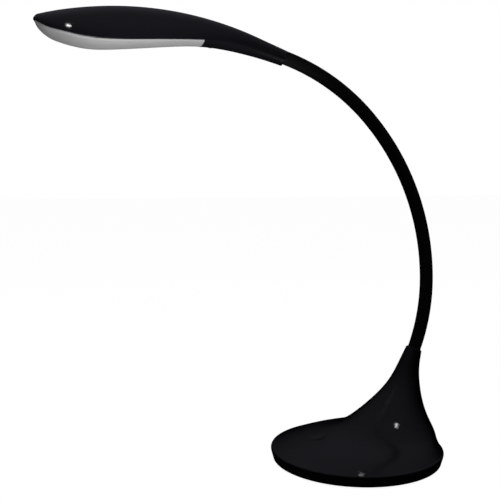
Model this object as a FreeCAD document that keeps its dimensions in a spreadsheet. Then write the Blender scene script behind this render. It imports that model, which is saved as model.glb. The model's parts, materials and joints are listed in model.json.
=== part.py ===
# Gooseneck desk lamp with a round weighted base, a bendable neck and a leaf-shaped lit head.
# Millimetres. X runs from the head (-X) to the power inlet (+X), Z is up, and the origin is the
# centre of the foot pad on the table. The lamp is symmetric about the plane Y = 0.
import FreeCAD, Part
import math
import os

Vector = FreeCAD.Vector
Y_AXIS = Vector(0, 1, 0)
Z_AXIS = Vector(0, 0, 1)

doc = FreeCAD.newDocument("gooseneck_desk_lamp")
sheet = doc.addObject("Spreadsheet::Sheet", "Dims")

DIMENSIONS = {
    # base: a low round dish with a chamfered top edge, its wall leaning out from foot to edge
    "base_radius": 80.0,
    "foot_radius": 77.5,
    "edge_height": 10.4,
    "edge_chamfer": 1.6,
    "base_wall": 2.3,
    # what the base stands on
    "pad_radius": 73.0,
    "pad_thickness": 1.5,
    "cover_radius": 74.9,
    "cover_thickness": 1.8,
    # the funnel that rises off-centre from the dish: level, centre and radius of each ring
    "ring_one_z": 12.0, "ring_one_x": 0.0, "ring_one_radius": 78.4,
    "ring_two_z": 18.7, "ring_two_x": 9.9, "ring_two_radius": 65.3,
    "ring_three_z": 29.2, "ring_three_x": 28.6, "ring_three_radius": 44.0,
    "ring_four_z": 38.3, "ring_four_x": 33.5, "ring_four_radius": 34.9,
    "ring_five_z": 56.5, "ring_five_x": 41.0, "ring_five_radius": 21.8,
    "ring_six_z": 72.0, "ring_six_x": 46.6, "ring_six_radius": 14.2,
    "ring_seven_z": 87.0, "ring_seven_x": 51.0, "ring_seven_radius": 9.9,
    # mouth of the funnel, where the neck comes out
    "mouth_x": 55.9,
    "mouth_z": 101.5,
    "mouth_radius": 7.4,
    "mouth_angle": 70.0,
    # touch switch: a shallow dimple on the sloping front of the base
    "dimple_x": -36.9,
    "dimple_z": 22.6,
    "dimple_radius": 7.0,
    "dimple_depth": 0.9,
    "ramp_angle": 12.0,
    "touch_seat_height": 4.0,
    "electrode_thickness": 0.4,
    # screw posts, and the holes that go with them
    "post_radius": 3.4,
    "tail_post_radius": 2.8,
    "pilot_radius": 1.2,
    "small_pilot_radius": 1.0,
    "clearance_radius": 1.7,
    "screw_head_radius": 2.8,
    "small_head_radius": 2.1,
    # openings square to the neck's line at its two ends: the neck bore runs this far past each end
    "base_bore_depth": 45.0,
    "head_bore_depth": 32.0,
    "bore_run_out": 5.0,
    # ballast
    "ballast_radius": 62.0,
    "ballast_thickness": 6.5,
    # control board on its posts
    "board_length": 42.0,
    "board_width": 26.0,
    "board_thickness": 1.6,
    "board_height": 12.5,
    "board_x": -31.0,
    "board_post_radius": 2.6,
    # inlet for a 5.5 mm barrel plug with a 2.1 mm pin
    "jack_height": 6.9,
    "jack_front_x": 75.2,
    "jack_length": 12.0,
    "jack_width": 9.0,
    "jack_tall": 7.0,
    "jack_bore_radius": 2.85,
    "jack_pin_radius": 1.05,
    "jack_hole_radius": 3.1,
    # neck: three arcs, each tangent to the last
    "neck_radius": 6.0,
    "sleeve_bore": 4.45,
    "coil_radius": 4.4,
    "coil_bore": 2.6,
    "neck_length": 325.0,
    "neck_joints": 12.0,
    "neck_end_run": 13.0,
    "low_bend": 183.0,
    "middle_bend": 223.5,
    "high_bend": 188.0,
    "ball_step": 0.05,
    "socket_gap": 0.3,
    "lead_radius": 1.6,
    # fittings at both ends of the neck
    "ferrule_radius": 5.0,
    "ferrule_length": 25.0,
    "ferrule_depth": 2.0,
    "coil_grip": 20.0,
    "nut_flats": 11.5,
    "nut_height": 4.0,
    "fit_gap": 0.05,
    # head: a leaf with a half-round nose
    "head_tip_x": -283.3,
    "head_half_width": 28.0,
    "head_taper_x": -228.0,
    "collar_x": -72.0,
    "collar_half_width": 7.1,
    "taper_shape": 1.15,
    "ridge_top_x": -207.0,
    "ridge_top_z": 404.1,
    "ridge_bend": 296.0,
    "collar_lift": 1.5,
    "collar_lift_from": -95.0,
    "collar_top_x": -69.5,
    "head_wall": 2.2,
    "diffuser_wall": 1.5,
    "diffuser_inset": 1.2,
    "diffuser_gap": 0.06,
    "notch_x": -144.6,
    "nut_pocket_radius": 6.9,
    # light source
    "led_board_thickness": 1.0,
    "heat_sink_thickness": 2.0,
    "led_level": 381.0,
    "led_pitch": 9.1,
    "led_per_row": 10.0,
}
for row, (alias, value) in enumerate(DIMENSIONS.items(), start=1):
    sheet.set("A%d" % row, alias)
    sheet.set("B%d" % row, str(value))
    sheet.setAlias("B%d" % row, alias)
doc.recompute()


def dim(alias):
    """Value of a driving dimension."""
    return float(sheet.get(alias))


def bind(item, **cells):
    """Tie properties to the sheet; a double underscore stands for a dot."""
    for prop, text in cells.items():
        item.setExpression(prop.replace("__", "."), text)
    return item


def place(item, x=0.0, y=0.0, z=0.0, axis=Y_AXIS, angle=0.0):
    item.Placement = FreeCAD.Placement(Vector(x, y, z), FreeCAD.Rotation(axis, angle))
    return item


def cylinder(name, radius, height, x="0", y="0", z="0"):
    item = doc.addObject("Part::Cylinder", name)
    return bind(item, Radius=radius, Height=height,
                Placement__Base__x=x, Placement__Base__y=y, Placement__Base__z=z)


def cone(name, low_radius, high_radius, height, z):
    item = doc.addObject("Part::Cone", name)
    return bind(item, Radius1=low_radius, Radius2=high_radius, Height=height,
                Placement__Base__z=z)


def box(name, length, width, height, x, z, y="0"):
    """Box whose low face is at z and whose centre is at x, y."""
    item = doc.addObject("Part::Box", name)
    return bind(item, Length=length, Width=width, Height=height,
                Placement__Base__x="%s - (%s) / 2" % (x, length),
                Placement__Base__y="%s - (%s) / 2" % (y, width), Placement__Base__z=z)


def cut(name, base, tool):
    item = doc.addObject("Part::Cut", name)
    item.Base = base
    item.Tool = tool
    return item


def common(name, base, tool):
    item = doc.addObject("Part::Common", name)
    item.Base = base
    item.Tool = tool
    return item


def fuse(name, items):
    item = doc.addObject("Part::MultiFuse", name)
    item.Shapes = items
    return item


def group(name, items):
    item = doc.addObject("Part::Compound", name)
    item.Links = items
    return item


def feature(name, shape):
    item = doc.addObject("Part::Feature", name)
    item.Shape = shape
    item.Placement = FreeCAD.Placement()
    return item


NODES = []


def node(item, label):
    """Give a finished sub-part its name and keep it for export."""
    item.Label = label
    NODES.append(item)
    return item


# Neck path

def neck_point(distance):
    """Point and angle of the neck's centre line, measured from the funnel's mouth."""
    link = neck_link()
    runs = [
        (dim("neck_end_run") + 2 * link, dim("low_bend")),
        (6 * link, dim("middle_bend")),
        (dim("neck_length"), dim("high_bend")),
    ]
    x = dim("mouth_x")
    z = dim("mouth_z")
    angle = math.radians(dim("mouth_angle"))
    left = distance
    if left < 0:
        return Vector(x + left * math.cos(angle), 0, z + left * math.sin(angle)), angle
    if left > dim("neck_length"):
        point, angle = neck_point(dim("neck_length"))
        past = left - dim("neck_length")
        return point + Vector(math.cos(angle), 0, math.sin(angle)) * past, angle
    for length, bend in runs:
        step = min(left, length)
        turned = angle + step / bend
        x += bend * (math.sin(turned) - math.sin(angle))
        z -= bend * (math.cos(turned) - math.cos(angle))
        angle = turned
        left -= step
        if left <= 0:
            break
    return Vector(x, 0, z), angle


def neck_link():
    """Distance between two neighbouring bending points of the neck."""
    return (dim("neck_length") - 2 * dim("neck_end_run")) / (dim("neck_joints") - 1)


def neck_pivot(number):
    """Distance along the neck to bending point number, counted from 1 at the base."""
    return dim("neck_end_run") + (number - 1) * neck_link()


def along(angle):
    return Vector(math.cos(angle), 0, math.sin(angle))


def neck_rod(radius, start, end):
    """Round rod that follows the neck from one distance to another."""
    edges = []
    breaks = [0.0, neck_pivot(3), neck_pivot(9), dim("neck_length")]
    stops = [start] + [b for b in breaks if start + 0.01 < b < end - 0.01] + [end]
    for low, high in zip(stops, stops[1:]):
        first, _ = neck_point(low)
        last, _ = neck_point(high)
        middle, _ = neck_point((low + high) / 2)
        if high <= 0.01 or low >= dim("neck_length") - 0.01:
            edges.append(Part.LineSegment(first, last).toShape())
        else:
            edges.append(Part.Arc(first, middle, last).toShape())
    first, angle = neck_point(start)
    ring = Part.Wire(Part.makeCircle(radius, first, along(angle)))
    return Part.Wire(edges).makePipeShell([ring], True, False)


def neck_cylinder(radius, start, length):
    """Straight cylinder on the neck's tangent at one distance; a negative length runs backwards."""
    point, angle = neck_point(start)
    direction = along(angle) * math.copysign(1, length)
    return Part.makeCylinder(radius, abs(length), point, direction)


# Base

RINGS = ["one", "two", "three", "four", "five", "six", "seven"]


def ring(name, radius, x, z, angle=0.0):
    """Level circle; the angle leans its axis from upright towards +X."""
    item = doc.addObject("Part::Circle", name)
    place(item, 0, 0, 0, Y_AXIS, angle)
    return bind(item, Radius=radius, Placement__Base__x=x, Placement__Base__z=z)


def loft(name, sections):
    item = doc.addObject("Part::Loft", name)
    item.Sections = sections
    item.Solid = True
    item.Ruled = False
    return item


def funnel_outside():
    rings = []
    for word in RINGS:
        lean = 6.0 if word == "seven" else 0.0
        rings.append(ring("outer_ring_" + word, "Dims.ring_%s_radius" % word,
                          "Dims.ring_%s_x" % word, "Dims.ring_%s_z" % word, lean))
    rings.append(ring("outer_ring_mouth", "Dims.mouth_radius", "Dims.mouth_x", "Dims.mouth_z",
                      90 - dim("mouth_angle")))
    return loft("funnel_outside", rings)


def funnel_inside():
    rings = []
    for word in RINGS[:6]:
        rings.append(ring("inner_ring_" + word, "Dims.ring_%s_radius - Dims.base_wall" % word,
                          "Dims.ring_%s_x" % word,
                          "Dims.ring_%s_z - Dims.base_wall" % word))
    # The hollow ends at a shelf square to the neck, where the nut bears.
    shelf, angle = neck_point(-dim("ferrule_depth") - dim("ferrule_length") + dim("nut_height") + 0.2)
    top = doc.addObject("Part::Circle", "inner_ring_shelf")
    place(top, shelf.x + 0.7, 0, shelf.z + 0.2, Y_AXIS, 90 - math.degrees(angle))
    bind(top, Radius="Dims.mouth_radius")
    return loft("funnel_inside", rings + [top])


def ramp_cylinder(name, radius, height, sink):
    """Cylinder square to the sloping front, its top face sink below the dimple's rim."""
    item = doc.addObject("Part::Cylinder", name)
    bind(item, Radius=radius, Height=height)
    slope = math.radians(dim("ramp_angle"))
    down = sink + float(doc.getObject(name).evalExpression(height))
    place(item, dim("dimple_x") + down * math.sin(slope), 0,
          dim("dimple_z") - down * math.cos(slope), Y_AXIS, -dim("ramp_angle"))
    return item


COVER_SCREW_RADIUS = 68.0
COVER_SCREW_ANGLES = [45, 135, 225, 315]
cover_screw_spots = [
    (COVER_SCREW_RADIUS * math.cos(math.radians(a)), COVER_SCREW_RADIUS * math.sin(math.radians(a)))
    for a in COVER_SCREW_ANGLES
]
BOARD_SCREW_INSET = 3.5
board_screw_spots = [
    (dim("board_x") + sx * (dim("board_length") / 2 - BOARD_SCREW_INSET),
     sy * (dim("board_width") / 2 - BOARD_SCREW_INSET))
    for sx in (-1, 1) for sy in (-1, 1)
]
BALLAST_SCREW_RADIUS = 48.0
ballast_screw_spots = [
    (BALLAST_SCREW_RADIUS * math.cos(math.radians(a)), BALLAST_SCREW_RADIUS * math.sin(math.radians(a)))
    for a in (80, 200, 280)
]


def posts(name, spots, radius, height, z):
    """One upright round post or hole at each spot, as one object."""
    items = [
        cylinder("%s_%d" % (name, i), radius, height, "%.4f" % x, "%.4f" % y, z)
        for i, (x, y) in enumerate(spots, start=1)
    ]
    return fuse(name, items)


def screws(label, spots, head_radius, head_height, shank_radius, length, head_z, points_up):
    """Pan-head screws, as one group of separate solids."""
    items = []
    for i, (x, y) in enumerate(spots, start=1):
        head = cylinder("%s_head_%d" % (label, i), head_radius, head_height,
                        "%.4f" % x, "%.4f" % y, head_z)
        start = "%s + %s" % (head_z, head_height) if points_up else "%s - %s" % (head_z, length)
        shank = cylinder("%s_shank_%d" % (label, i), shank_radius, length,
                         "%.4f" % x, "%.4f" % y, start)
        items.append(fuse("%s_%d" % (label, i), [head, shank]))
    return node(group(label, items), label)


def base_shell():
    foot = cone("dish_wall", "Dims.foot_radius", "Dims.base_radius",
                "Dims.edge_height - Dims.pad_thickness", "Dims.pad_thickness")
    edge = cone("dish_edge", "Dims.base_radius", "Dims.base_radius - Dims.edge_chamfer",
                "Dims.edge_chamfer", "Dims.edge_height")
    outside = fuse("base_outside", [foot, edge, funnel_outside()])
    hollow = cone("dish_hollow", "Dims.foot_radius - Dims.base_wall",
                  "Dims.base_radius - Dims.base_wall",
                  "Dims.ring_one_z - Dims.base_wall - Dims.pad_thickness", "Dims.pad_thickness")
    inside = fuse("base_inside", [hollow, funnel_inside()])
    skin = cut("base_skin", outside, inside)
    screw_posts = posts("cover_posts", cover_screw_spots, "Dims.post_radius", "40",
                        "Dims.pad_thickness + Dims.cover_thickness + 0.1")
    touch_seat = ramp_cylinder("touch_seat", "Dims.dimple_radius + 1.5", "Dims.touch_seat_height", 0.0)
    inner_posts = common("inner_posts", fuse("post_blank", [screw_posts, touch_seat]), outside)
    walls = fuse("base_walls", [skin, inner_posts])
    pilots = posts("cover_pilots", cover_screw_spots, "Dims.pilot_radius", "10", "Dims.pad_thickness")
    dimple = doc.addObject("Part::Sphere", "dimple_cutter")
    ball = (dim("dimple_radius") ** 2 + dim("dimple_depth") ** 2) / (2 * dim("dimple_depth"))
    slope = math.radians(dim("ramp_angle"))
    rise = ball - dim("dimple_depth")
    place(dimple, dim("dimple_x") - rise * math.sin(slope), 0, dim("dimple_z") + rise * math.cos(slope))
    bind(dimple, Radius="(Dims.dimple_radius ^ 2 + Dims.dimple_depth ^ 2) / (2 * Dims.dimple_depth)")
    jack_hole = doc.addObject("Part::Cylinder", "jack_hole")
    bind(jack_hole, Radius="Dims.jack_hole_radius", Height="10")
    place(jack_hole, dim("jack_front_x") - 1.0, 0, dim("jack_height"), Y_AXIS, 90)
    bore = feature("neck_bore", neck_cylinder(
        dim("ferrule_radius") + dim("fit_gap"), -dim("base_bore_depth"),
        dim("base_bore_depth") + dim("bore_run_out")))
    seat = feature("sleeve_seat", neck_cylinder(dim("neck_radius") + dim("fit_gap"),
                                                -dim("ferrule_depth"),
                                                dim("ferrule_depth") + dim("bore_run_out")))
    openings = fuse("base_openings", [pilots, dimple, jack_hole, bore, seat])
    return node(cut("base_shell_solid", walls, openings), "base_shell")


def bottom_cover():
    plate = cylinder("cover_plate", "Dims.cover_radius", "Dims.cover_thickness",
                     z="Dims.pad_thickness")
    board_posts = posts("board_posts", board_screw_spots, "Dims.board_post_radius",
                        "Dims.board_height - Dims.pad_thickness", "Dims.pad_thickness")
    blank = fuse("cover_blank", [plate, board_posts])
    holes = fuse("cover_holes", [
        posts("cover_clearance", cover_screw_spots, "Dims.clearance_radius", "3", "Dims.pad_thickness"),
        posts("cover_counterbores", cover_screw_spots, "3.0", "1.2", "Dims.pad_thickness"),
        posts("board_pilots", board_screw_spots, "0.8", "8", "Dims.board_height - 7"),
        posts("ballast_pilots", ballast_screw_spots, "Dims.pilot_radius", "3", "Dims.pad_thickness"),
    ])
    return node(cut("bottom_cover_solid", blank, holes), "bottom_cover")


def ballast_plate():
    level = "Dims.pad_thickness + Dims.cover_thickness + 0.1"
    disc = cylinder("ballast_disc", "Dims.ballast_radius", "Dims.ballast_thickness", z=level)
    holes = fuse("ballast_holes", [
        posts("ballast_post_holes", board_screw_spots, "Dims.board_post_radius + 0.4", "9", "3"),
        posts("ballast_screw_holes", ballast_screw_spots, "Dims.clearance_radius", "9", "3"),
        box("ballast_notch", "36", "16", "10", "Dims.ballast_radius", "3"),
    ])
    return node(cut("ballast_plate_solid", disc, holes), "ballast_plate")


def control_board():
    board = box("board_blank", "Dims.board_length", "Dims.board_width", "Dims.board_thickness",
                "Dims.board_x", "Dims.board_height")
    holes = posts("board_holes", board_screw_spots, "1.1", "4", "Dims.board_height - 1")
    node(cut("control_board_solid", board, holes), "control_board")
    top = "Dims.board_height + Dims.board_thickness"
    node(box("touch_chip_solid", "5", "4", "1.4", "-43", top, "6"), "touch_chip")
    node(box("power_inductor_solid", "7", "7", "4.2", "-24", top, "-6.5"), "power_inductor")
    node(cylinder("filter_capacitor_solid", "3.2", "6", "-24", "6.5", top), "filter_capacitor")
    shroud = box("lead_socket_blank", "6", "7.5", "5.5", "-14", top)
    slot = box("lead_socket_slot", "4.4", "6", "4", "-13", top + " + 1")
    node(cut("lead_socket_solid", shroud, slot), "lead_socket")


SPRING_CLEARANCE = 1.4


def touch_sensor():
    sink = dim("touch_seat_height") + dim("fit_gap")
    plate = ramp_cylinder("touch_electrode_solid", "Dims.dimple_radius - 1", "Dims.electrode_thickness", sink)
    node(plate, "touch_electrode")
    # The sensing spring stands on the board and ends just under the electrode.
    foot = dim("board_height") + dim("board_thickness")
    spring_x = dim("dimple_x") + 1.6
    reach = dim("dimple_z") - sink - dim("electrode_thickness") - SPRING_CLEARANCE - foot
    wire_radius = 0.3
    coil_radius = 2.2
    helix = Part.makeHelix(1.5, reach - 2 * wire_radius, coil_radius)
    ring_start = Part.Wire(Part.makeCircle(wire_radius, Vector(coil_radius, 0, 0), Y_AXIS))
    spring = Part.Wire(helix.Edges).makePipeShell([ring_start], True, True)
    item = feature("touch_spring_solid", spring)
    node(place(item, spring_x, 0, foot + wire_radius + 0.05), "touch_spring")


def power_inlet():
    centre_z = "Dims.jack_height"
    housing = box("jack_blank", "Dims.jack_length", "Dims.jack_width", "Dims.jack_tall",
                  "Dims.jack_front_x - Dims.jack_length / 2", centre_z + " - Dims.jack_tall / 2")
    bore = doc.addObject("Part::Cylinder", "jack_bore")
    bind(bore, Radius="Dims.jack_bore_radius", Height="Dims.jack_length")
    place(bore, dim("jack_front_x") - dim("jack_length") + 2.0, 0, dim("jack_height"), Y_AXIS, 90)
    node(cut("dc_jack_solid", housing, bore), "dc_jack")
    pin = doc.addObject("Part::Cylinder", "jack_pin_solid")
    bind(pin, Radius="Dims.jack_pin_radius", Height="Dims.jack_length - 3")
    place(pin, dim("jack_front_x") - dim("jack_length") + 2.0, 0, dim("jack_height"), Y_AXIS, 90)
    node(pin, "jack_pin")


# Leads

def rounded_path(points, bend):
    """Straight runs joined by tangent arcs, through a few points."""
    edges = []
    last = points[0]
    for before, corner, after in zip(points, points[1:], points[2:]):
        to_before = (before - corner).normalize()
        to_after = (after - corner).normalize()
        turn = math.pi - to_before.getAngle(to_after)
        setback = min(bend * math.tan(turn / 2), 0.45 * min(before.distanceToPoint(corner),
                                                            after.distanceToPoint(corner)))
        radius = setback / math.tan(turn / 2)
        start = corner + to_before * setback
        end = corner + to_after * setback
        inward = (to_before + to_after).normalize()
        centre = corner + inward * math.hypot(radius, setback)
        middle = centre - inward * radius
        edges.append(Part.LineSegment(last, start).toShape())
        edges.append(Part.Arc(start, middle, end).toShape())
        last = end
        print("lead bend radius %.1f" % radius)
    edges.append(Part.LineSegment(last, points[-1]).toShape())
    return edges


def tube_along(edges, radius):
    wire = Part.Wire(edges)
    first = wire.OrderedVertexes[0].Point
    start = edges[0]
    direction = start.tangentAt(start.FirstParameter)
    circle = Part.Wire(Part.makeCircle(radius, first, direction))
    tube = wire.makePipeShell([circle], True, False)
    print("lead volume %.0f of %.0f" % (tube.Volume, math.pi * radius ** 2 * wire.Length))
    return tube


def neck_edges(start, end):
    stops = [start, 0.0, neck_pivot(3), neck_pivot(9), dim("neck_length"), end]
    edges = []
    for low, high in zip(stops, stops[1:]):
        first, _ = neck_point(low)
        last, _ = neck_point(high)
        if low < 0 or high > dim("neck_length"):
            edges.append(Part.LineSegment(first, last).toShape())
        else:
            middle, _ = neck_point((low + high) / 2)
            edges.append(Part.Arc(first, middle, last).toShape())
    return edges


def leads():
    low_run = -36.0
    high_run = dim("neck_length") + 40.0
    entry, angle = neck_point(low_run)
    plug = Vector(-8.5, 0, dim("board_height") + dim("board_thickness") + 2.75)
    route = [plug, plug + Vector(16, 0, 4), entry - along(angle) * 24, entry]
    low_edges = rounded_path(route, 14)
    leave, angle = neck_point(high_run)
    board_end = Vector(-146.6, 0, dim("led_level") - 2.2)
    high_edges = rounded_path([leave, leave + along(angle) * 12, board_end + Vector(12, 0, 0.5),
                               board_end], 20)
    path = low_edges + neck_edges(low_run, high_run) + high_edges
    node(feature("neck_lead_solid", tube_along(path, dim("lead_radius"))), "neck_lead")
    node(box("base_plug_solid", "5", "5.6", "3.6", "-11.5",
             "Dims.board_height + Dims.board_thickness + 1.1"), "base_plug")
    wires = []
    for side in (-1, 1):
        start = Vector(dim("jack_front_x") - dim("jack_length"), side * 1.6, dim("jack_height"))
        end = Vector(-10.4, side * 7.0, dim("board_height") + dim("board_thickness") + 1.0)
        corners = [start, start + Vector(-8, 0, 0), Vector(38, side * 3, 14.5),
                   Vector(6, side * 6, 16.5), end]
        wires.append(tube_along(rounded_path(corners, 9), 0.75))
    node(feature("inlet_wires_solid", Part.makeCompound(wires)), "inlet_wires")


# Neck

def neck_end_fitting(where, start, direction):
    """Ferrule pressed on the coil, and the nut that holds it in its housing."""
    ferrule_start = start if direction > 0 else start - dim("ferrule_length")
    outer = neck_cylinder(dim("ferrule_radius"), ferrule_start, dim("ferrule_length"))
    bore = neck_cylinder(dim("coil_radius") + dim("fit_gap"), ferrule_start - 1,
                         dim("ferrule_length") + 2)
    node(feature(where + "_ferrule_solid", outer.cut(bore)), where + "_ferrule")
    nut_start = ferrule_start + (dim("ferrule_length") - dim("nut_height") if direction > 0 else 0)
    point, angle = neck_point(nut_start)
    corner = dim("nut_flats") / 2 / math.cos(math.pi / 6)
    across = Vector(-math.sin(angle), 0, math.cos(angle))
    corners = []
    for i in range(7):
        turn = math.radians(60 * i + 30)
        corners.append(point + across * (corner * math.cos(turn)) + Y_AXIS * (corner * math.sin(turn)))
    blank = Part.Face(Part.makePolygon(corners)).extrude(along(angle) * dim("nut_height"))
    hole = neck_cylinder(dim("ferrule_radius") + dim("fit_gap"), nut_start - 1,
                         dim("nut_height") + 2)
    node(feature(where + "_nut_solid", blank.cut(hole)), where + "_nut")


def neck_segment(number, radius, bore, ball, buried):
    """Stretch of neck between two bending points: hollow start, ball end.

    The first and last stretch run on by the buried length inside the base and the head.
    """
    last = int(dim("neck_joints"))
    start = neck_pivot(number) if number > 0 else -buried
    end = neck_pivot(number + 1) if number < last else dim("neck_length") + buried
    solid = neck_rod(radius, start, end)
    reach = ball + 1
    if number < last:
        pivot, angle = neck_point(end)
        tip = Part.makeSphere(ball, pivot)
        tip = tip.common(Part.makeCylinder(reach, reach, pivot, along(angle)))
        if radius < ball:
            tip = tip.common(neck_cylinder(radius, end, reach))
        solid = solid.fuse(tip)
        solid = solid.cut(neck_rod(bore, start - 0.5, end))
        solid = solid.cut(neck_cylinder(bore, end - 0.2, reach + 0.5))
    else:
        solid = solid.cut(neck_rod(bore, start - 0.5, end + 0.5))
    if number > 0:
        pivot, _ = neck_point(start)
        solid = solid.cut(Part.makeSphere(ball + dim("socket_gap"), pivot))
    return solid.removeSplitter()


def neck():
    ball = dim("neck_radius") - dim("ball_step")
    seat = dim("ferrule_depth")
    grip = seat + dim("coil_grip")
    for number in range(int(dim("neck_joints")) + 1):
        sleeve = neck_segment(number, dim("neck_radius"), dim("sleeve_bore"), ball, seat)
        node(feature("sleeve_solid_%02d" % number, sleeve), "neck_sleeve_%02d" % number)
        coil = neck_segment(number, dim("coil_radius"), dim("coil_bore"), ball, grip)
        node(feature("coil_solid_%02d" % number, coil), "neck_coil_%02d" % number)


# Head

def head_width(x, inset):
    """Half of the head's width: a half-round nose, then a long taper to the collar."""
    nose = dim("head_half_width")
    past_tip = x - dim("head_tip_x")
    if past_tip < nose:
        return math.sqrt((nose - inset) ** 2 - (nose - past_tip) ** 2)
    if x < dim("head_taper_x"):
        return nose - inset
    share = (x - dim("head_taper_x")) / (dim("collar_x") - dim("head_taper_x"))
    ease = 0.5 + 0.5 * math.cos(math.pi * min(share, 1.0) ** dim("taper_shape"))
    return dim("collar_half_width") + (nose - dim("collar_half_width")) * ease - inset


def smooth_height(points, x):
    """Height on a smooth curve through a few points."""
    spots = [Vector(px, 0, pz) for px, pz in points]
    curve = Part.BSplineCurve()
    curve.interpolate(spots)
    plane = Part.Plane(Vector(x, 0, 0), Vector(1, 0, 0))
    hits = curve.intersect(plane)[0]
    return hits[0].Z if hits else spots[-1].z


def ridge_height(x):
    """Ridge of the head: an arc, lifted a little where it meets the collar."""
    bend = dim("ridge_bend")
    arc = dim("ridge_top_z") - bend + math.sqrt(bend ** 2 - (x - dim("ridge_top_x")) ** 2)
    lift_from = dim("collar_lift_from")
    share = max(x - lift_from, 0) / (dim("collar_top_x") - lift_from)
    return arc + dim("collar_lift") * share ** 2


# side view of the rim, from the nose down to its low point, along the diffuser, then down the
# middle of the tail to the collar
RIM = [(-283.3, 391.0), (-276.3, 385.2), (-262.0, 379.3), (-243.0, 375.2), (-218.0, 373.7),
       (-180.0, 375.2), (-150.0, 376.6), (-125.0, 377.2), (-100.0, 374.6), (-80.0, 368.5),
       (-60.0, 361.5)]
# lowest line of the head: the crowned diffuser, a slight hollow, then the belly of the tail
KEEL = [(-283.3, 388.2), (-276.3, 381.0), (-262.0, 373.9), (-240.0, 369.4), (-215.0, 370.0),
        (-180.0, 372.9), (-150.0, 374.0), (-125.0, 371.2), (-100.0, 366.0), (-80.0, 360.6),
        (-60.0, 354.0)]


def rim_height(x):
    return smooth_height(RIM, x)


def keel_height(x):
    return smooth_height(KEEL, x)


def half_section(x, sign, inset, wall, overlap):
    """Half of the head's outline at x: a half ellipse on the rim's level, above or below it.

    A hollow (overlap over 0) runs on past the rim, so that it opens the half right through.
    """
    width = head_width(x, inset)
    rim = rim_height(x)
    height = (ridge_height(x) - rim if sign > 0 else rim - keel_height(x)) - wall
    arc = Part.Arc(Vector(0, 1, 0), Vector(0, 0, sign), Vector(0, -1, 0)).toShape()
    matrix = FreeCAD.Matrix()
    matrix.scale(Vector(1, width, height))
    matrix.move(Vector(x, 0, rim))
    edges = [arc.transformGeometry(matrix)]
    far = Vector(x, width, rim)
    near = Vector(x, -width, rim)
    past = Vector(0, 0, -sign * overlap)
    if overlap > 0:
        edges.append(Part.LineSegment(near, near + past).toShape())
        edges.append(Part.LineSegment(near + past, far + past).toShape())
        edges.append(Part.LineSegment(far + past, far).toShape())
    else:
        edges.append(Part.LineSegment(near, far).toShape())
    return Part.Wire(edges)


NOSE_STEPS = [1.0, 3.5, 8.0, 15.0, 25.0]
TAIL_STATIONS = [-245.0, -228.0, -208.0, -185.0, -162.0, -140.0, -120.0, -100.0, -85.0, -72.0, -60.0]
TAIL_HOLLOW_END = -100.0
HOLLOW_NOSE_SHARE = 0.9
RIM_OVERLAP = 1.5


def head_half(sign, inset):
    """One half of the head, solid, its edge set in by inset from the head's outline."""
    stations = [dim("head_tip_x") + inset + step for step in NOSE_STEPS] + TAIL_STATIONS
    return Part.makeLoft([half_section(x, sign, inset, 0.0, 0.0) for x in stations], True, False)


def head_hollow(sign, inset, wall):
    """The space inside one half of the head."""
    start = dim("head_tip_x") + inset
    stations = [start + HOLLOW_NOSE_SHARE * step for step in NOSE_STEPS]
    stations += [x for x in TAIL_STATIONS if x <= TAIL_HOLLOW_END]
    sections = [half_section(x, sign, inset, wall, RIM_OVERLAP) for x in stations]
    return Part.makeLoft(sections, True, False)


LED_SCREWS = [(-250.0, 12.5), (-250.0, -12.5), (-160.0, 8.0), (-160.0, -8.0)]
TAIL_SCREWS = [(-135.0, 8.0), (-135.0, -8.0)]


def tapered_plate(name, front, front_half, back, back_half, low, high):
    """Flat plate that narrows from the nose side to the tail side."""
    corners = [Vector(front, -front_half, low), Vector(back, -back_half, low),
               Vector(back, back_half, low), Vector(front, front_half, low)]
    face = Part.Face(Part.makePolygon(corners + corners[:1]))
    return feature(name, face.extrude(Vector(0, 0, high - low)))


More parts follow.
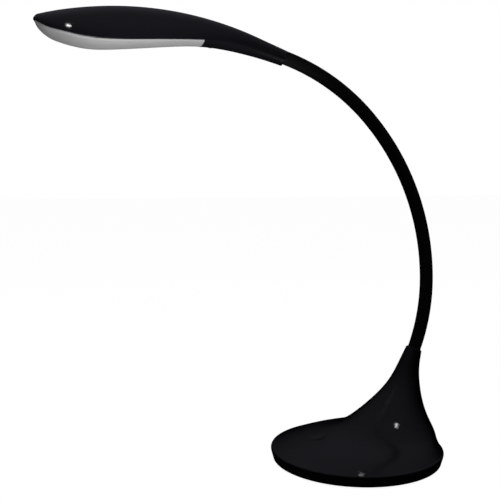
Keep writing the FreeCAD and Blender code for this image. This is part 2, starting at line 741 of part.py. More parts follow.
def head():
    end = dim("neck_length")
    point, angle = neck_point(end)
    trim = feature("tail_trim", Part.makeBox(60, 60, 60, Vector(0, -30, -30)))
    trim.Placement = FreeCAD.Placement(point, FreeCAD.Rotation(Y_AXIS, 180 - math.degrees(angle)))
    bore = feature("head_bore", neck_cylinder(
        dim("ferrule_radius") + dim("fit_gap"), end + dim("head_bore_depth"),
        -dim("head_bore_depth") - dim("ferrule_depth")))
    sleeve_end = end + dim("ferrule_depth")
    seat = feature("head_sleeve_seat", neck_cylinder(dim("neck_radius") + dim("fit_gap"), sleeve_end,
                                                     -dim("bore_run_out")))
    nut_start = end + dim("ferrule_depth") + dim("ferrule_length") - dim("nut_height") - 0.2
    pocket = feature("head_nut_pocket", neck_cylinder(dim("nut_pocket_radius"), nut_start, 12))
    tail_posts = posts("tail_posts", TAIL_SCREWS, "Dims.tail_post_radius", "60", "340")

    wall = dim("head_wall")
    upper = cut("upper_half", feature("upper_blank", head_half(1, 0.0)), trim)
    upper_skin = cut("upper_skin", upper, feature("upper_hollow", head_hollow(1, wall, wall)))
    sink_top = "Dims.led_level + Dims.led_board_thickness + Dims.heat_sink_thickness"
    led_posts = posts("led_posts", LED_SCREWS, "3", "40", sink_top)
    upper_posts = common("upper_posts", fuse("upper_post_blank", [led_posts, tail_posts]), upper)
    upper_walls = fuse("upper_walls", [upper_skin, upper_posts])
    pilots = posts("led_pilots", LED_SCREWS, "Dims.small_pilot_radius", "7", sink_top)
    tail_pilots = posts("tail_pilots", TAIL_SCREWS, "Dims.small_pilot_radius", "11", "373")
    upper_holes = fuse("upper_holes", [bore, seat, pocket, pilots, tail_pilots])
    node(cut("head_shell_solid", upper_walls, upper_holes), "head_shell")

    lower = cut("lower_half", feature("lower_blank", head_half(-1, 0.0)), trim)
    lower_skin = cut("lower_skin", lower, feature("lower_hollow", head_hollow(-1, wall, wall)))
    lower_posts = common("lower_posts", tail_posts, lower)
    lower_walls = fuse("lower_walls", [lower_skin, lower_posts])
    tail_clearance = posts("tail_clearance", TAIL_SCREWS, "Dims.pilot_radius", "11", "373")
    tail_heads = posts("tail_counterbores", TAIL_SCREWS, "2.3", "12", "362.5")
    lower_holes = fuse("lower_holes", [bore, seat, pocket, tail_clearance, tail_heads])
    lower_bored = cut("lower_bored", lower_walls, lower_holes)
    behind = doc.addObject("Part::Box", "behind_notch")
    bind(behind, Length="120", Width="90", Height="80", Placement__Base__x="Dims.notch_x",
         Placement__Base__y="-45", Placement__Base__z="340")
    node(common("under_cover_solid", lower_bored, behind), "under_cover")
    # The diffuser's edge sits inside the rim, so that the rim shows all round it.
    inset = dim("diffuser_inset")
    thin = dim("diffuser_wall")
    panel = cut("diffuser_skin", feature("diffuser_blank", head_half(-1, inset)),
                feature("diffuser_hollow", head_hollow(-1, inset + thin, thin)))
    node(place(cut("diffuser_solid", panel, behind), z=-dim("diffuser_gap")), "diffuser")
    light_source()
    screws("tail_screws", TAIL_SCREWS, "Dims.small_head_radius", "1.4", "Dims.small_pilot_radius", "7",
           "373.1", True)


def light_source():
    level = dim("led_level")
    board_top = level + dim("led_board_thickness")
    sink_top = board_top + dim("heat_sink_thickness")
    board = tapered_plate("led_board_blank", -256, 17.0, -146, 11.1, level, board_top)
    sink = tapered_plate("heat_sink_blank", -258, 18.5, -144, 12.1, board_top, sink_top)
    screw_holes = posts("led_screw_holes", LED_SCREWS, "1.2", "6", "Dims.led_level - 1")
    node(cut("led_board_solid", board, screw_holes), "led_board")
    sink_holes = posts("heat_sink_screw_holes", LED_SCREWS, "1.2", "6", "Dims.led_level - 1")
    node(cut("heat_sink_solid", sink, sink_holes), "heat_sink")
    chips = []
    for i in range(int(dim("led_per_row"))):
        for side in (-1, 1):
            chips.append(box("led_%d_%s" % (i + 1, "near" if side < 0 else "far"), "3.5", "2.8", "0.8",
                             "-246 + %d * Dims.led_pitch" % i, "Dims.led_level - 0.8",
                             "%.1f" % (side * 4.5)))
    node(group("led_chips_group", chips), "led_chips")
    screws("led_screws", LED_SCREWS, "Dims.small_head_radius", "1.3", "Dims.small_pilot_radius", "8",
           "Dims.led_level - 1.3", True)
    tray = []
    for spread in (0.0, 0.8):
        loops = []
        for height, grow in ((level - 0.1, 0.0), (level - 4.0, 2.0)):
            x0 = -254.0 - grow - spread
            x1 = -155.0 + grow + spread
            y0 = 15.6 + grow + spread
            y1 = 10.6 + grow + spread
            loops.append(Part.makePolygon([
                Vector(x0, -y0, height), Vector(x1, -y1, height),
                Vector(x1, y1, height), Vector(x0, y0, height), Vector(x0, -y0, height)]))
        tray.append(Part.makeLoft(loops, True, True))
    node(feature("reflector_solid", tray[1].cut(tray[0])), "reflector")
    node(box("head_plug_solid", "4.6", "7", "4", "-149.0", "Dims.led_level - 4.2"), "head_plug")


base_shell()
bottom_cover()
node(cylinder("base_pad_solid", "Dims.pad_radius", "Dims.pad_thickness"), "base_pad")
ballast_plate()
screws("cover_screws", cover_screw_spots, "Dims.screw_head_radius", "1.1", "Dims.pilot_radius", "8",
       "Dims.pad_thickness + Dims.fit_gap", True)
screws("ballast_screws", ballast_screw_spots, "Dims.screw_head_radius", "1.6", "Dims.pilot_radius", "8",
       "Dims.pad_thickness + Dims.cover_thickness + Dims.ballast_thickness + 0.1", False)
control_board()
screws("board_screws", board_screw_spots, "1.9", "1.2", "0.8", "6",
       "Dims.board_height + Dims.board_thickness", False)
touch_sensor()
power_inlet()
leads()
neck_end_fitting("base", -dim("ferrule_depth"), -1)
neck_end_fitting("head", dim("neck_length") + dim("ferrule_depth"), 1)
neck()
head()

doc.recompute()

failed = [item.Name for item in doc.Objects if "Invalid" in item.State or "Error" in item.State]
if failed:
    raise RuntimeError("these objects failed: " + ", ".join(failed))
for item in NODES:
    if item.Shape.isNull() or not item.Shape.isValid() or not item.Shape.Solids:
        raise RuntimeError("no valid solid in " + item.Label)

os.makedirs("parts", exist_ok=True)
for item in NODES:
    item.Shape.exportStep(os.path.join("parts", item.Label + ".step"))
print("%d sub-parts written" % len(NODES))
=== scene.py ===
"""Gooseneck desk lamp: the visible surfaces, their finishes and the stage.

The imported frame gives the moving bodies. Lengths below are in millimetres unless a name or a
property says otherwise, and every surface is put into its mesh in metres.
"""
import json
import math

import bmesh
import bpy
import numpy as np
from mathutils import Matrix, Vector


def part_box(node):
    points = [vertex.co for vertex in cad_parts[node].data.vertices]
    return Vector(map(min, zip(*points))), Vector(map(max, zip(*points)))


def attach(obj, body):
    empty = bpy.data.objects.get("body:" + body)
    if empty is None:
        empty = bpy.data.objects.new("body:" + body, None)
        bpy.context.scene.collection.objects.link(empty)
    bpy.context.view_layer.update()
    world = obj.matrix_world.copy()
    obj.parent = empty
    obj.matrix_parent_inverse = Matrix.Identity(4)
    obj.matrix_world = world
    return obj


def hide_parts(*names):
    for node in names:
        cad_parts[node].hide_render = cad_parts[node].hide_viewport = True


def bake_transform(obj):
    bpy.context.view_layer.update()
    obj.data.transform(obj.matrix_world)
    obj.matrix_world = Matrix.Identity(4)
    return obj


bl_info = {
    "name": "Gooseneck Desk Lamp",
    "version": (1, 0, 0),
    "blender": (4, 5, 0),
    "location": "View3D > Sidebar > Desk Lamp",
    "description": "Builds the surfaces, finishes and stage of a gooseneck desk lamp",
    "category": "Add Mesh",
}

MM = 0.001
TURN = 2 * math.pi
MERGE_METRES = 2e-6
THIN_METRES = 1e-7

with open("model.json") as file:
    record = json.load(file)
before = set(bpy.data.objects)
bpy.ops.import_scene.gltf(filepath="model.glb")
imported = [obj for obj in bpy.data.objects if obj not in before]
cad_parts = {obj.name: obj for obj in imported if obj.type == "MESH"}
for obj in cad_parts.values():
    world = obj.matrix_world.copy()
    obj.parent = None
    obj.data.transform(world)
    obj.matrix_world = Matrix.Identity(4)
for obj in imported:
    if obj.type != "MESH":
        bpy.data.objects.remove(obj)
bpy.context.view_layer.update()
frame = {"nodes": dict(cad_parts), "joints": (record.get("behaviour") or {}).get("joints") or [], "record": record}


# Sizes and colours

class LampShape(bpy.types.PropertyGroup):
    """Sizes of the lamp's visible surfaces"""

    base_radius: bpy.props.FloatProperty(
        name="Base radius", description="Radius at the top edge of the base", default=0.080, unit="LENGTH")
    foot_radius: bpy.props.FloatProperty(
        name="Foot radius", description="Radius at the foot of the base wall", default=0.0775, unit="LENGTH")
    base_wall: bpy.props.FloatProperty(
        name="Base wall", description="Wall thickness of the base shell", default=0.0023, unit="LENGTH")
    dimple_radius: bpy.props.FloatProperty(
        name="Touch dimple radius", description="Radius of the touch switch's dimple", default=0.007,
        unit="LENGTH")
    dimple_depth: bpy.props.FloatProperty(
        name="Touch dimple depth", description="Depth of the touch switch's dimple", default=0.0009,
        unit="LENGTH")
    neck_radius: bpy.props.FloatProperty(
        name="Neck radius", description="Outside radius of the silicone sleeve", default=0.006,
        unit="LENGTH")
    sleeve_bore: bpy.props.FloatProperty(
        name="Sleeve bore", description="Inside radius of the silicone sleeve", default=0.00445,
        unit="LENGTH")
    head_half_width: bpy.props.FloatProperty(
        name="Head half width", description="Half of the head's greatest width", default=0.028,
        unit="LENGTH")
    head_wall: bpy.props.FloatProperty(
        name="Head wall", description="Wall thickness of the head's shell", default=0.0022, unit="LENGTH")
    diffuser_wall: bpy.props.FloatProperty(
        name="Diffuser wall", description="Wall thickness of the diffuser", default=0.0015, unit="LENGTH")
    diffuser_inset: bpy.props.FloatProperty(
        name="Diffuser inset", description="How far the diffuser's edge sits inside the rim", default=0.0012,
        unit="LENGTH")


class LampFinish(bpy.types.PropertyGroup):
    """Colours of the diffuser and the foot pad"""

    diffuser_colour: bpy.props.FloatVectorProperty(
        name="Diffuser colour", description="Colour of the frosted diffuser", subtype="COLOR",
        default=(0.62, 0.62, 0.62), min=0, max=1)
    rubber_colour: bpy.props.FloatVectorProperty(
        name="Foot pad colour", description="Colour of the rubber foot pad", subtype="COLOR",
        default=(0.012, 0.012, 0.012), min=0, max=1)


class StageSettings(bpy.types.PropertyGroup):
    """Camera, light and floor"""

    camera_place: bpy.props.FloatVectorProperty(
        name="Camera place", description="Where the camera stands", subtype="TRANSLATION", unit="LENGTH",
        default=(-0.2727, -0.7333, 0.2746))
    camera_yaw: bpy.props.FloatProperty(
        name="Camera yaw", description="Turn of the camera from +Y towards +X", subtype="ANGLE",
        default=math.radians(13.11))
    camera_pitch: bpy.props.FloatProperty(
        name="Camera pitch", description="Tilt of the camera above the level", subtype="ANGLE",
        default=math.radians(-5.82))
    camera_angle: bpy.props.FloatProperty(
        name="Camera angle", description="Angle of view across the frame", subtype="ANGLE",
        default=math.radians(32.58))
    floor_colour: bpy.props.FloatVectorProperty(
        name="Floor colour", description="Colour of the floor", subtype="COLOR", default=(0.86, 0.86, 0.86),
        min=0, max=1)


# Meshes worked out with numpy

def grid_faces(rows, columns, wrap_rows, wrap_columns):
    """Four-sided faces between neighbours of a grid of points, closed round where it wraps."""
    row = np.arange(rows if wrap_rows else rows - 1)[:, None]
    column = np.arange(columns if wrap_columns else columns - 1)[None, :]
    next_row = (row + 1) % rows
    next_column = (column + 1) % columns
    corners = (row * columns + column, row * columns + next_column,
               next_row * columns + next_column, next_row * columns + column)
    return np.stack([corner.ravel() for corner in np.broadcast_arrays(*corners)], axis=1)


def mesh_from_grids(name, grids, sharp_angle=32.0):
    """One closed mesh from several grids of points in millimetres, each with its two wraps.

    Equal points are merged, which closes seams and poles, and the faces are turned outwards.
    """
    points, faces, start = [], [], 0
    for grid, wrap_rows, wrap_columns in grids:
        rows, columns = grid.shape[:2]
        points.append(grid.reshape(-1, 3))
        faces.append(grid_faces(rows, columns, wrap_rows, wrap_columns) + start)
        start += rows * columns
    points = np.concatenate(points) * MM
    faces = np.concatenate(faces)
    mesh = bpy.data.meshes.new(name)
    mesh.vertices.add(len(points))
    mesh.vertices.foreach_set("co", points.astype(np.float32).ravel())
    mesh.loops.add(faces.size)
    mesh.loops.foreach_set("vertex_index", faces.astype(np.int32).ravel())
    mesh.polygons.add(len(faces))
    mesh.polygons.foreach_set("loop_start", np.arange(0, faces.size, 4, dtype=np.int32))
    mesh.update(calc_edges=True)
    tidy_mesh(mesh, sharp_angle)
    return mesh


def tidy_mesh(mesh, sharp_angle):
    """Merges equal points, turns the faces outwards and marks edges past the angle as sharp."""
    work = bmesh.new()
    work.from_mesh(mesh)
    bmesh.ops.remove_doubles(work, verts=work.verts, dist=MERGE_METRES)
    bmesh.ops.dissolve_degenerate(work, edges=work.edges, dist=THIN_METRES)
    bmesh.ops.recalc_face_normals(work, faces=work.faces)
    work.to_mesh(mesh)
    work.free()
    mesh.polygons.foreach_set("use_smooth", np.ones(len(mesh.polygons), dtype=bool))
    mesh.set_sharp_from_angle(angle=math.radians(sharp_angle))
    mesh.update()


def new_piece(name, mesh, material):
    """Puts a mesh into the scene in one material."""
    piece = bpy.data.objects.new(name, mesh)
    bpy.context.scene.collection.objects.link(piece)
    mesh.materials.clear()
    mesh.materials.append(material)
    return piece


def drill(piece, holes, sharp_angle=32.0):
    """Round holes cut in a piece; each hole is its centre, its direction, its radius and its length."""
    for centre, direction, radius, length in holes:
        along = np.array(direction, float)
        across = np.cross(along, (0.0, 1.0, 0.0)) if abs(along[1]) < 0.5 else np.cross(along, (1.0, 0, 0))
        across /= np.linalg.norm(across)
        third = np.cross(along, across)
        turn = np.linspace(0, TURN, 96, endpoint=False)[None, :, None]
        size = np.array([0.0, radius, radius, 0.0])[:, None, None]
        step = np.array([-0.5, -0.5, 0.5, 0.5])[:, None, None] * length
        grid = (np.array(centre, float) + step * along
                + size * (np.cos(turn) * across + np.sin(turn) * third))
        cutter = bpy.data.objects.new("drill", mesh_from_grids("drill", [(grid, False, True)]))
        bpy.context.scene.collection.objects.link(cutter)
        cut = piece.modifiers.new("hole", "BOOLEAN")
        cut.operation = "DIFFERENCE"
        cut.solver = "EXACT"
        cut.object = cutter
        bpy.context.view_layer.update()
        result = bpy.data.meshes.new_from_object(piece.evaluated_get(bpy.context.evaluated_depsgraph_get()))
        result.name = piece.data.name
        piece.modifiers.clear()
        piece.data = result
        bpy.data.objects.remove(cutter)
    tidy_mesh(piece.data, sharp_angle)


def smooth_curve(knots, at):
    """Natural cubic spline: each column of knots is a smooth function of the first column.

    The second derivatives at the knots come from the usual three-term equations.
    """
    knots = np.asarray(knots, float)
    spots, values = knots[:, 0], knots[:, 1:]
    gap = np.diff(spots)
    count = len(spots)
    system = np.eye(count)
    right = np.zeros((count, values.shape[1]))
    inner = np.arange(1, count - 1)
    system[inner, inner - 1] = gap[:-1]
    system[inner, inner] = 2 * (gap[:-1] + gap[1:])
    system[inner, inner + 1] = gap[1:]
    slope = np.diff(values, axis=0) / gap[:, None]
    right[1:-1] = 6 * np.diff(slope, axis=0)
    bend = np.linalg.solve(system, right)
    at = np.asarray(at, float)
    k = np.clip(np.searchsorted(spots, at) - 1, 0, count - 2)
    width = gap[k][..., None]
    low = (at - spots[k])[..., None]
    high = width - low
    return (bend[k] * high ** 3 / (6 * width) + bend[k + 1] * low ** 3 / (6 * width)
            + (values[k] / width - bend[k] * width / 6) * high
            + (values[k + 1] / width - bend[k + 1] * width / 6) * low)


def smooth_step(value, low, high):
    """0 below low, 1 above high, and an S-curve between them."""
    share = np.clip((value - low) / (high - low), 0, 1)
    return share * share * (3 - 2 * share)


def bend_through(start, corner, end, count):
    """Rounded corner: a parabola from start to end that heads for the corner at both."""
    t = np.linspace(0, 1, count)[:, None]
    return (1 - t) ** 2 * np.array(start) + 2 * t * (1 - t) * np.array(corner) + t ** 2 * np.array(end)


def double_bend(start, near, far, end, count):
    """Two rounded corners in one run, from start past near and far to end."""
    middle = (np.array(near) + np.array(far)) / 2
    first = bend_through(start, near, middle, count)
    second = bend_through(middle, far, end, count)
    return np.concatenate([first, second[1:]])


# Neck

NECK_LENGTH = 325.0
NECK_JOINTS = 12
NECK_END_RUN = 13.0
NECK_LINK = (NECK_LENGTH - 2 * NECK_END_RUN) / (NECK_JOINTS - 1)
NECK_SEAT = 2.0
FIT_GAP = 0.08
MOUTH = (55.9, 101.5)
MOUTH_ANGLE = math.radians(70.0)
NECK_BENDS = ((NECK_END_RUN + 2 * NECK_LINK, 183.0), (6 * NECK_LINK, 223.5),
              (NECK_END_RUN + 3 * NECK_LINK, 188.0))


def neck_line(distance):
    """Points and angles of the neck's centre line: three arcs, each tangent to the last.

    Along an arc the angle grows by distance over bend radius, and the point moves by the bend
    radius times the change in sine and cosine. Past both ends the line goes straight on.
    """
    distance = np.asarray(distance, float)
    x = np.full(distance.shape, MOUTH[0])
    z = np.full(distance.shape, MOUTH[1])
    angle = np.full(distance.shape, MOUTH_ANGLE)
    start = 0.0
    for length, bend in NECK_BENDS:
        turned = angle + np.clip(distance - start, 0, length) / bend
        x += bend * (np.sin(turned) - np.sin(angle))
        z -= bend * (np.cos(turned) - np.cos(angle))
        angle = turned
        start += length
    past = np.minimum(distance, 0) + np.maximum(distance - NECK_LENGTH, 0)
    x += past * np.cos(angle)
    z += past * np.sin(angle)
    return np.stack([x, np.zeros_like(x), z], axis=-1), angle


def around_neck(distance, radius, turn):
    """Point at a radius from the centre line, turn measured from the outside of the bend."""
    centre, angle = neck_line(distance)
    outward = np.stack([-np.sin(angle), np.zeros_like(angle), np.cos(angle)], axis=-1)
    sideways = np.array([0.0, 1.0, 0.0])
    radius = np.asarray(radius)[..., None]
    return centre + radius * (np.cos(turn)[..., None] * outward + np.sin(turn)[..., None] * sideways)


def neck_pivot(number):
    """Distance of a joint along the neck; joint 1 is the lowest."""
    return NECK_END_RUN + (number - 1) * NECK_LINK


def neck_mesh(name, start, end, radius, bore):
    """Tube along the neck between two distances: outside, end ring, bore and end ring in one loop."""
    steps = np.linspace(start, end, 34)
    distance = np.concatenate([steps, steps[::-1]])[:, None]
    size = np.concatenate([np.full(steps.shape, radius), np.full(steps.shape, bore)])[:, None]
    turn = np.linspace(0, TURN, 72, endpoint=False)[None, :]
    distance, size, turn = np.broadcast_arrays(distance, size, turn)
    return mesh_from_grids(name, [(around_neck(distance, size, turn), True, True)])


# The lead leaves the neck's line at LEAD_LOW and LEAD_HIGH, and turns two corners to each plug.
LEAD_RADIUS = 1.6
LEAD_LOW = -36.0
LEAD_HIGH = NECK_LENGTH + 40.0
BASE_CORNER = 24.0
HEAD_CORNER = 12.0
BASE_PLUG = (-8.5, 0.0, 16.85)
BASE_PLUG_RUN = (16.0, 0.0, 4.0)
HEAD_PLUG = (-146.6, 0.0, 378.8)
HEAD_PLUG_RUN = (12.0, 0.0, 0.5)
CORNER_STEPS = 14


def lead_path(number):
    """Middle of one stretch of the lead; the first and last also run to the plugs inside."""
    pivot = neck_pivot(number)
    start = pivot - NECK_LINK / 2 if number > 1 else LEAD_LOW
    end = pivot + NECK_LINK / 2 if number < NECK_JOINTS else LEAD_HIGH
    path = neck_line(np.linspace(start, end, 30))[0]
    if number == 1:
        below = neck_line(np.array([LEAD_LOW - BASE_CORNER]))[0][0]
        near = np.array(BASE_PLUG) + BASE_PLUG_RUN
        run = double_bend(BASE_PLUG, near, below, path[0], CORNER_STEPS)
        path = np.concatenate([run[:-1], path])
    if number == NECK_JOINTS:
        beyond = neck_line(np.array([LEAD_HIGH + HEAD_CORNER]))[0][0]
        near = np.array(HEAD_PLUG) + HEAD_PLUG_RUN
        run = double_bend(path[-1], beyond, near, HEAD_PLUG, CORNER_STEPS)
        path = np.concatenate([path, run[1:]])
    return path


def rod_mesh(name, path, radius):
    """Round rod along a path in the lamp's plane, closed by a flat face at each end."""
    run = np.gradient(path, axis=0)
    angle = np.arctan2(run[:, 2], run[:, 0])
    row = np.concatenate([[0], np.arange(len(path)), [len(path) - 1]])
    size = np.full(len(row), radius)
    size[[0, -1]] = 0
    outward = np.stack([-np.sin(angle), 0 * angle, np.cos(angle)], axis=-1)[row][:, None]
    turn = np.linspace(0, TURN, 32, endpoint=False)[None, :, None]
    across = np.cos(turn) * outward + np.sin(turn) * np.array([0.0, 1.0, 0.0])
    return mesh_from_grids(name, [(path[row][:, None] + size[:, None, None] * across, False, True)])


# Base

RING_LEVELS = (  # level, centre and radius of each ring, and how far it leans towards +X
    (12.0, 0.0, 78.4, 0.0), (18.7, 9.9, 65.3, 0.0), (29.2, 28.6, 44.0, 0.0), (38.3, 33.5, 34.9, 0.0),
    (56.5, 41.0, 21.8, 0.0), (72.0, 46.6, 14.2, 0.0), (87.0, 51.0, 9.9, 6.0), (101.5, 55.9, 7.4, 20.0),
)
EDGE_LEVEL = 10.4
PAD_THICKNESS = 1.5
DIMPLE = (-36.9, 0.0, 22.6)
DIMPLE_SLOPE = math.radians(12.0)
DIMPLE_ROUNDING = 0.22
JACK_LEVEL = 6.9
JACK_HOLE_RADIUS = 3.1
LIP_RADIUS = 7.0
LIP_RISE = 0.35
LIP_ROUNDING = 0.45
FERRULE_HOLE = 5.1
FERRULE_DEPTH = 22.8
PAD_EDGE = 0.7
PAD_RIM = 2.0
GROOVE_DEPTH = 0.12
GROOVE_SPACING = 6.0


def ring_grid(rings, turn):
    """Rings stacked into a grid: each ring's centre, radius and lean, swept round by the turn."""
    level, centre, radius, lean = (rings[:, i][:, None] for i in range(4))
    lean = np.radians(lean)
    reach = radius * np.cos(turn)
    return np.stack([centre + reach * np.cos(lean), radius * np.sin(turn),
                     level - reach * np.sin(lean)], axis=-1)


def funnel_rings(count):
    """Rings of the funnel at even steps of a smooth curve through the eight measured rings."""
    levels = np.array(RING_LEVELS)
    step = np.linalg.norm(np.diff(levels[:, :3], axis=0), axis=1)
    along = np.concatenate([[0], np.cumsum(step)])
    knots = np.column_stack([along, levels])
    return smooth_curve(knots, np.linspace(0, along[-1], count))


def level_rings(radius_and_level):
    """Rings about the base's own axis, from pairs of radius and level."""
    pairs = np.asarray(radius_and_level, float)
    zero = np.zeros(len(pairs))
    return np.column_stack([pairs[:, 1], zero, pairs[:, 0], zero])


def press_dimple(points, radius, depth):
    """Sinks the surface onto a ball: no point stays above the ball's surface inside the dimple.

    The lower of the two heights is taken, with a small rounding where they cross.
    """
    up = np.array([-math.sin(DIMPLE_SLOPE), 0, math.cos(DIMPLE_SLOPE)])
    offset = points - np.array(DIMPLE)
    height = offset @ up
    apart = np.linalg.norm(offset - height[..., None] * up, axis=-1)
    ball = (radius ** 2 + depth ** 2) / (2 * depth)
    cup = ball - depth - np.sqrt(np.maximum(ball ** 2 - np.minimum(apart, 2 * radius) ** 2, 0))
    mix = np.clip(0.5 + 0.5 * (cup - height) / DIMPLE_ROUNDING, 0, 1)
    lower = cup * (1 - mix) + height * mix - DIMPLE_ROUNDING * mix * (1 - mix)
    near = (apart < 1.6 * radius) & (points[..., 2] > EDGE_LEVEL)
    return points + np.where(near, lower - height, 0)[..., None] * up


def base_mesh(shape):
    """The dish and funnel: one closed loop of rings, up the outside and down the inside.

    The turn runs slower round the front, where the dimple needs closer points.
    """
    base, foot, wall = shape.base_radius / MM, shape.foot_radius / MM, shape.base_wall / MM
    even = np.linspace(-math.pi, math.pi, 320, endpoint=False)
    turn = (math.pi + even - 0.55 * np.sin(even))[None, :]
    low = bend_through((foot - 0.6, PAD_THICKNESS), (foot, PAD_THICKNESS),
                       (foot + 0.15, PAD_THICKNESS + 0.6), 6)
    edge = bend_through((base - 0.45, EDGE_LEVEL - 1.5), (base + 0.15, EDGE_LEVEL + 1.15),
                        (RING_LEVELS[0][2], RING_LEVELS[0][0]), 12)
    outside = np.concatenate([level_rings(low), level_rings(edge), funnel_rings(150)[1:]])
    (mouth, brim, seat, deep), _ = neck_line(np.array([0.0, LIP_RISE, -NECK_SEAT, -FERRULE_DEPTH]))
    lean = 90 - math.degrees(MOUTH_ANGLE)
    bore = shape.neck_radius / MM + FIT_GAP
    lip = np.array([
        [brim[2], brim[0], LIP_RADIUS, lean],
        [brim[2], brim[0], bore + LIP_ROUNDING, lean],
        [mouth[2], mouth[0], bore, lean],
        [seat[2], seat[0], bore, lean],
        [seat[2], seat[0], FERRULE_HOLE, lean],
        [deep[2], deep[0], FERRULE_HOLE, lean],
        [deep[2] + 0.2, deep[0] + 0.7, RING_LEVELS[-1][2], lean],
    ])
    inner = np.array(RING_LEVELS[:6][::-1])
    inner[:, 0] -= wall
    inner[:, 2] -= wall
    skirt = level_rings([(base - wall, EDGE_LEVEL - wall + 1.0), (foot - wall, PAD_THICKNESS)])
    outer_grid = press_dimple(ring_grid(outside, turn), shape.dimple_radius / MM, shape.dimple_depth / MM)
    inner_grid = ring_grid(np.concatenate([lip, inner, skirt]), turn)
    grid = np.concatenate([outer_grid, inner_grid])
    return mesh_from_grids("base_cover", [(grid, True, True)], sharp_angle=38.0)


def pad_mesh(radius):
    """Flat rubber disc with rounded edges and shallow rings moulded in its underside.

    Underneath, the level follows a raised cosine of the distance from the middle.
    """
    turn = np.linspace(0, TURN, 160, endpoint=False)[None, :]
    reach = np.linspace(0, radius - PAD_RIM, 90)
    wave = 0.5 - 0.5 * np.cos(TURN * reach / GROOVE_SPACING)
    under = np.column_stack([reach, GROOVE_DEPTH * wave * (reach > GROOVE_SPACING)])
    edge = bend_through((radius - PAD_EDGE, 0.0), (radius, 0.0), (radius, PAD_EDGE), 6)
    top = np.array([[radius, PAD_THICKNESS], [0.0, PAD_THICKNESS]])
    rings = level_rings(np.concatenate([under, edge, top]))
    return mesh_from_grids("foot_pad", [(ring_grid(rings, turn), False, True)])


# Head

HEAD_TIP = -283.3
TAPER_START = -228.0
COLLAR_X = -72.0
NECK_END_X = -71.7
COLLAR_HALF_WIDTH = 7.1
TAPER_SHAPE = 1.15
NOTCH_X = -144.6
RIDGE_TOP = (-207.0, 404.1)
RIDGE_BEND = 296.0
COLLAR_LIFT = 1.5
COLLAR_LIFT_FROM = -95.0
RIM = ((-283.3, 391.0), (-276.3, 385.2), (-262.0, 379.3), (-243.0, 375.2), (-218.0, 373.7),
       (-180.0, 375.2), (-150.0, 376.6), (-125.0, 377.2), (-100.0, 374.6), (-80.0, 368.5), (-60.0, 361.5))
KEEL = ((-283.3, 388.2), (-276.3, 381.0), (-262.0, 373.9), (-240.0, 369.4), (-215.0, 370.0),
        (-180.0, 372.9), (-150.0, 374.0), (-125.0, 371.2), (-100.0, 366.0), (-80.0, 360.6), (-60.0, 354.0))
NOSE_ROUNDING = 3.2
SHEAR_RUN = 45.0
SOCKET_RUN = 34.0
SOCKET_FULL = 22.0
HEAD_ROWS = 150
SECTION_STEPS = 73
EDGE_STEPS = 4
TAIL_SCREWS = ((-135.0, 8.0), (-135.0, -8.0))
TAIL_SCREW_LEVEL = 374.5
SCREW_RADIUS = 2.1
SCREW_HEIGHT = 1.4
SCREW_HOLE_RADIUS = 2.3
DOME_RISE = 0.25
CROSS_DEPTH = 0.75


def ridge_height(x):
    """Ridge of the head: an arc, lifted a little where it meets the collar."""
    arc = RIDGE_TOP[1] - RIDGE_BEND + np.sqrt(RIDGE_BEND ** 2 - (x - RIDGE_TOP[0]) ** 2)
    share = np.clip((x - COLLAR_LIFT_FROM) / (COLLAR_X + 2.5 - COLLAR_LIFT_FROM), 0, 1.3)
    return arc + COLLAR_LIFT * share ** 2


def rim_height(x):
    """Level where the head's upper and lower halves meet."""
    return smooth_curve(RIM, x)[..., 0]


def keel_height(x):
    """Level of the line along the bottom of the head."""
    return smooth_curve(KEEL, x)[..., 0]


def head_width(x, nose, inset):
    """Half of the head's width: a half circle at the nose, then a cosine taper to the collar."""
    past_tip = x - HEAD_TIP
    half_round = np.sqrt(np.maximum((nose - inset) ** 2 - (nose - np.minimum(past_tip, nose)) ** 2, 0))
    share = np.clip((x - TAPER_START) / (COLLAR_X - TAPER_START), 0, 1)
    ease = 0.5 + 0.5 * np.cos(math.pi * share ** TAPER_SHAPE)
    taper = COLLAR_HALF_WIDTH + (nose - COLLAR_HALF_WIDTH) * ease - inset
    return np.where(past_tip < nose, half_round, taper)


def head_height(x, sign, inset, wall):
    """How far the skin stands from the rim's level at the middle, rounded off at the nose."""
    full = ridge_height(x) - rim_height(x) if sign > 0 else rim_height(x) - keel_height(x)
    past_tip = np.clip((x - HEAD_TIP - inset) / NOSE_ROUNDING, 0, 1)
    return np.maximum(full - wall, 0.05) * np.sqrt(1 - (1 - past_tip) ** 2)


def collar_shear(x, z):
    """Moves a section's points along X, so that the last section is square to the neck."""
    end, angle = neck_line(np.array(NECK_LENGTH))
    slope = 1 / math.tan(float(angle) - math.pi / 2)
    return smooth_step(x, COLLAR_X - SHEAR_RUN, COLLAR_X) * (z - end[2]) * slope


